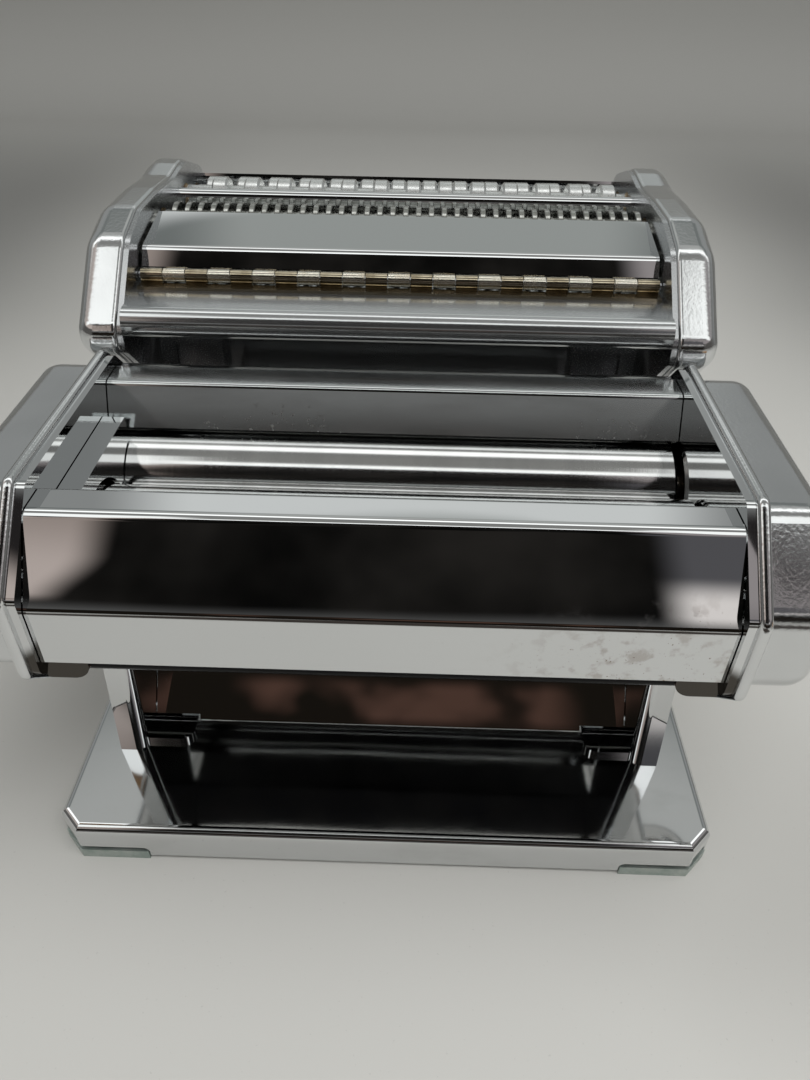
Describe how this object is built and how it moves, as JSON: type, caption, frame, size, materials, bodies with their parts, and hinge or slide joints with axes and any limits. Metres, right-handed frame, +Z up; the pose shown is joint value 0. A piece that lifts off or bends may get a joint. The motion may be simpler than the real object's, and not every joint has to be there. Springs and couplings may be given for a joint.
{
  "type": "pasta machine",
  "caption": "Hand-cranked pasta machine: chromed octagonal roller head on a pedestal base, thickness knob, and a lift-off double cutter with a hinged flap behind.",
  "frame": {"origin": "on the table, under the middle of the roller head", "axes": "+X along the rollers to the crank, +Y to the back where the cutter hangs, +Z up"},
  "size_m": [0.308, 0.227, 0.1537],
  "materials": {
    "polished_chrome": "mirror polish, lightly worn",
    "satin_chrome": "satin grain over pressed sheet",
    "ground_steel": "ground round the axis",
    "plated_steel": "plain plated sheet and rod",
    "gear_steel": "greased steel",
    "bearing_bronze": "plain bronze",
    "hinge_nickel": "warm nickel, polished",
    "blued_steel": "blued sheet",
    "passivated_zinc": "passivated zinc casting",
    "dial_aluminium": "satin, dark figures",
    "turned_wood": "varnished beech"
  },
  "bodies": {
    "frame": {"base_plate": "polished_chrome", "corner_feet": "passivated_zinc", "left_side_plate": "polished_chrome", "right_side_plate": "polished_chrome", "front_cover": "polished_chrome", "rear_cover": "polished_chrome", "dough_plate": "polished_chrome", "dough_edge_guide": "polished_chrome", "left_end_cover": "satin_chrome", "right_end_cover": "satin_chrome", "dough_chute": "polished_chrome", "tie_rods": "plated_steel", "tie_rod_nuts": "plated_steel", "front_scraper": "blued_steel", "rear_scraper": "blued_steel", "drive_roller_bushes": "bearing_bronze", "end_cover_screws": "plated_steel", "leg_screws": "plated_steel", "cutter_hangers": "plated_steel"},
    "drive": {"drive_roller": "ground_steel", "drive_gear": "gear_steel", "crank_arm": "polished_chrome"},
    "grip": {"crank_grip": "turned_wood"},
    "adjuster": {"adjuster_shaft": "plated_steel", "eccentrics": "gear_steel", "thickness_dial": "dial_aluminium", "thickness_knob": "turned_wood"},
    "carriers": {"left_carrier": "plated_steel", "right_carrier": "plated_steel"},
    "adjust_roller_set": {"adjust_roller": "ground_steel", "adjust_gear": "gear_steel"},
    "cutter": {"left_cutter_cheek": "satin_chrome", "right_cutter_cheek": "satin_chrome", "left_bearing_plate": "plated_steel", "right_bearing_plate": "plated_steel", "cutter_bushes": "bearing_bronze", "cutter_front_plate": "polished_chrome", "cutter_rear_plate": "polished_chrome", "cutter_middle_guide": "polished_chrome", "cutter_tie_bars": "plated_steel", "narrow_combs": "plated_steel", "wide_combs": "plated_steel", "hinge_fixed_leaf": "hinge_nickel", "hinge_pin": "plated_steel", "hook_channels": "plated_steel"},
    "flap": {"cutter_flap": "polished_chrome", "hinge_flap_leaf": "hinge_nickel"},
    "narrow_drive": {"narrow_drive_cutter": "ground_steel", "narrow_drive_pinion": "gear_steel"},
    "narrow_partner": {"narrow_partner_cutter": "ground_steel", "narrow_partner_pinion": "gear_steel"},
    "wide_drive": {"wide_drive_cutter": "ground_steel", "wide_drive_pinion": "gear_steel"},
    "wide_partner": {"wide_partner_cutter": "ground_steel", "wide_partner_pinion": "gear_steel"}
  },
  "joints": [
    {"name": "drive_spin", "type": "hinge", "parent": "frame", "child": "drive", "pos_m": [0, 0.017, 0.098], "axis": [1, 0, 0], "continuous": true},
    {"name": "grip_spin", "type": "hinge", "parent": "drive", "child": "grip", "pos_m": [0, -0.063, 0.098], "axis": [1, 0, 0], "continuous": true},
    {"name": "knob_turn", "type": "hinge", "parent": "frame", "child": "adjuster", "pos_m": [0, -0.031, 0.098], "axis": [1, 0, 0], "range_deg": [-56, 56]},
    {"name": "carrier_slide", "type": "slide", "parent": "frame", "child": "carriers", "axis": [0, 1, 0], "range_m": [-0.001, 0.001]},
    {"name": "adjust_spin", "type": "hinge", "parent": "carriers", "child": "adjust_roller_set", "pos_m": [0, -0.0112, 0.098], "axis": [1, 0, 0], "continuous": true},
    {"name": "cutter_lift", "type": "slide", "parent": "frame", "child": "cutter", "axis": [0, 0, 1], "range_m": [0, 0.06]},
    {"name": "flap_hinge", "type": "hinge", "parent": "cutter", "child": "flap", "pos_m": [0, 0.0615, 0.13835], "axis": [1, 0, 0], "range_deg": [0, 120]},
    {"name": "narrow_spin", "type": "hinge", "parent": "cutter", "child": "narrow_drive", "pos_m": [0, 0.08, 0.1365], "axis": [1, 0, 0], "continuous": true},
    {"name": "narrow_partner_spin", "type": "hinge", "parent": "cutter", "child": "narrow_partner", "pos_m": [0, 0.0935, 0.1417], "axis": [1, 0, 0], "continuous": true},
    {"name": "wide_spin", "type": "hinge", "parent": "cutter", "child": "wide_drive", "pos_m": [0, 0.1375, 0.1376], "axis": [1, 0, 0], "continuous": true},
    {"name": "wide_partner_spin", "type": "hinge", "parent": "cutter", "child": "wide_partner", "pos_m": [0, 0.1235, 0.1412], "axis": [1, 0, 0], "continuous": true}
  ],
  "couplings": [
    {"joint": "adjust_spin", "follows": "drive_spin", "ratio": -1},
    {"joint": "knob_turn", "follows": "carrier_slide", "rad_per_m": -872.66},
    {"joint": "narrow_partner_spin", "follows": "narrow_spin", "ratio": -1},
    {"joint": "wide_partner_spin", "follows": "wide_spin", "ratio": -1}
  ]
}
